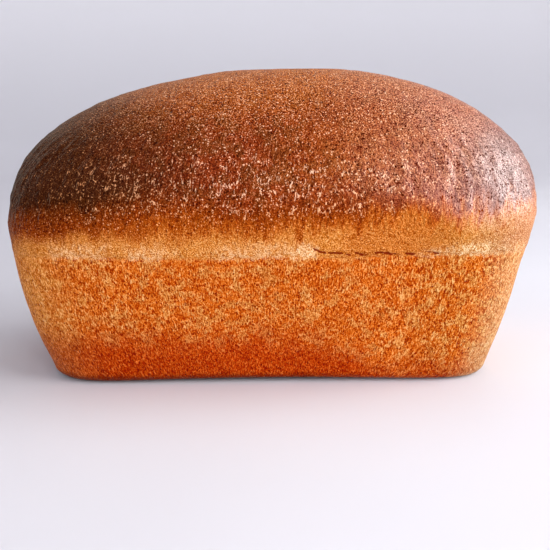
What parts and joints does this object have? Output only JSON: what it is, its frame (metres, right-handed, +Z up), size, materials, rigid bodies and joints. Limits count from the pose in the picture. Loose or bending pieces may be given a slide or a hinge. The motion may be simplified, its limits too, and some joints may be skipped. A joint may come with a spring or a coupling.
{
  "type": "tin loaf",
  "caption": "Long wholemeal loaf baked in a flared loaf tin, with flat tin-shaped walls and a high rounded brown crust above the rim.",
  "frame": {"origin": "on the flat base, under the middle of the loaf's box", "axes": "+X along the loaf towards the end that its top leans to, +Y to the back, +Z up out of the top crust"},
  "size_m": [0.2574, 0.1286, 0.151],
  "materials": {
    "crust": "dry baked crust, dark reddish brown and faintly glossy on the dome, orange with brown bran specks on the tin walls"
  },
  "bodies": {
    "root": {"loaf": "crust"}
  },
  "joints": []
}
